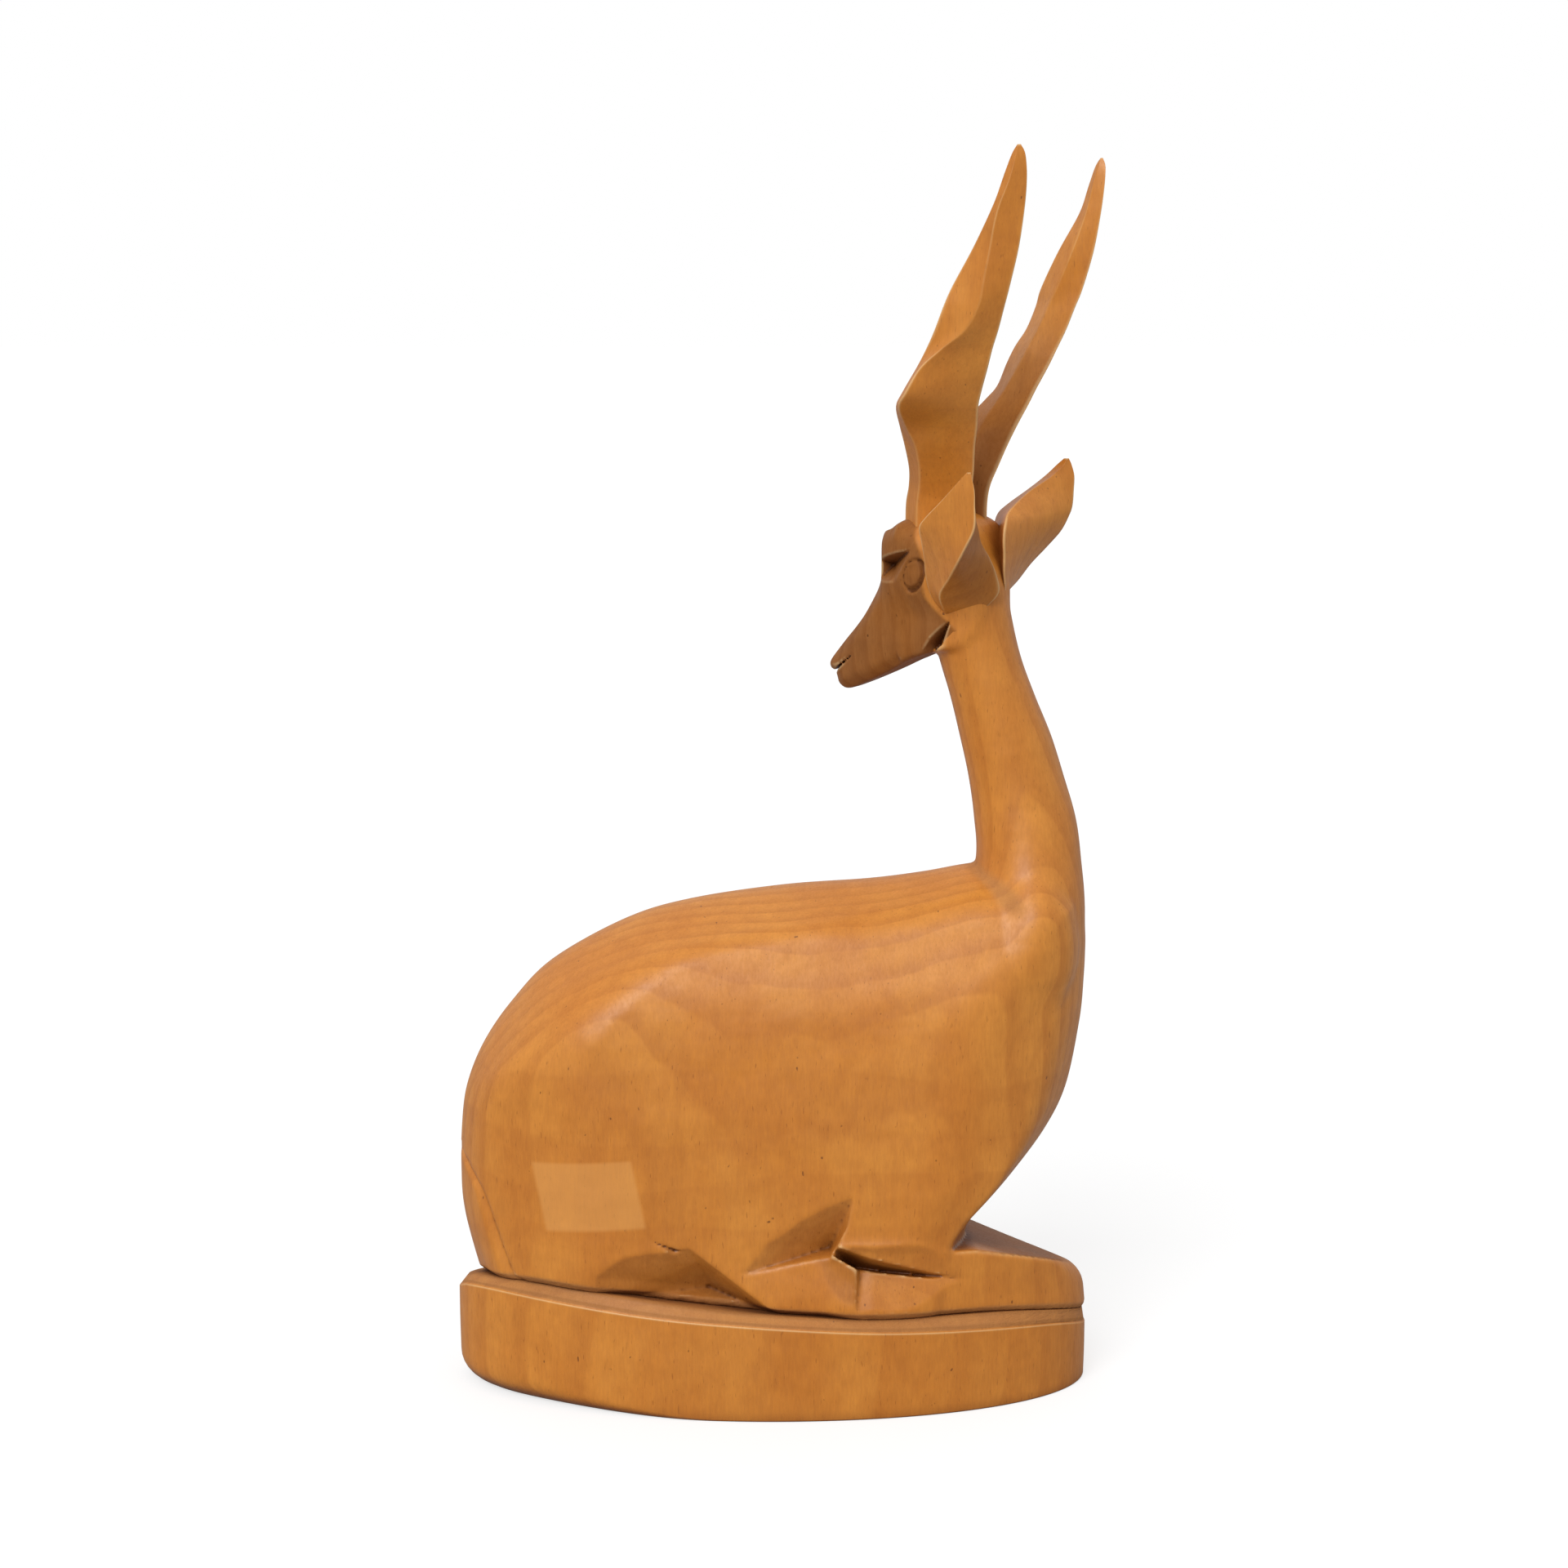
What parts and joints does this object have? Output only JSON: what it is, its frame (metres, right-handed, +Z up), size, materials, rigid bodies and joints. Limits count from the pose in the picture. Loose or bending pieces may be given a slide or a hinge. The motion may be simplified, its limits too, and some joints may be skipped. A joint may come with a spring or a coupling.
{
  "type": "carved gazelle statue",
  "caption": "Kneeling gazelle carved in amber wood, head turned back over its shoulder, long lyre-shaped horns, on an oval plinth.",
  "frame": {"origin": "centre of the plinth's flat underside", "axes": "+Z up, +X towards the animal's chest, +Y towards its left flank; the head looks back towards -X and somewhat towards +Y"},
  "size_m": [0.1406, 0.065, 0.2703],
  "materials": {
    "carved_wood": "satin varnish over amber wood with upright grain",
    "dowel_wood": "bare pale wood"
  },
  "bodies": {
    "root": {"plinth": "carved_wood", "body": "carved_wood", "head": "carved_wood", "left_horn": "carved_wood", "right_horn": "carved_wood", "left_ear": "carved_wood", "right_ear": "carved_wood", "plinth_dowels": "dowel_wood", "neck_dowel": "dowel_wood"}
  },
  "joints": []
}
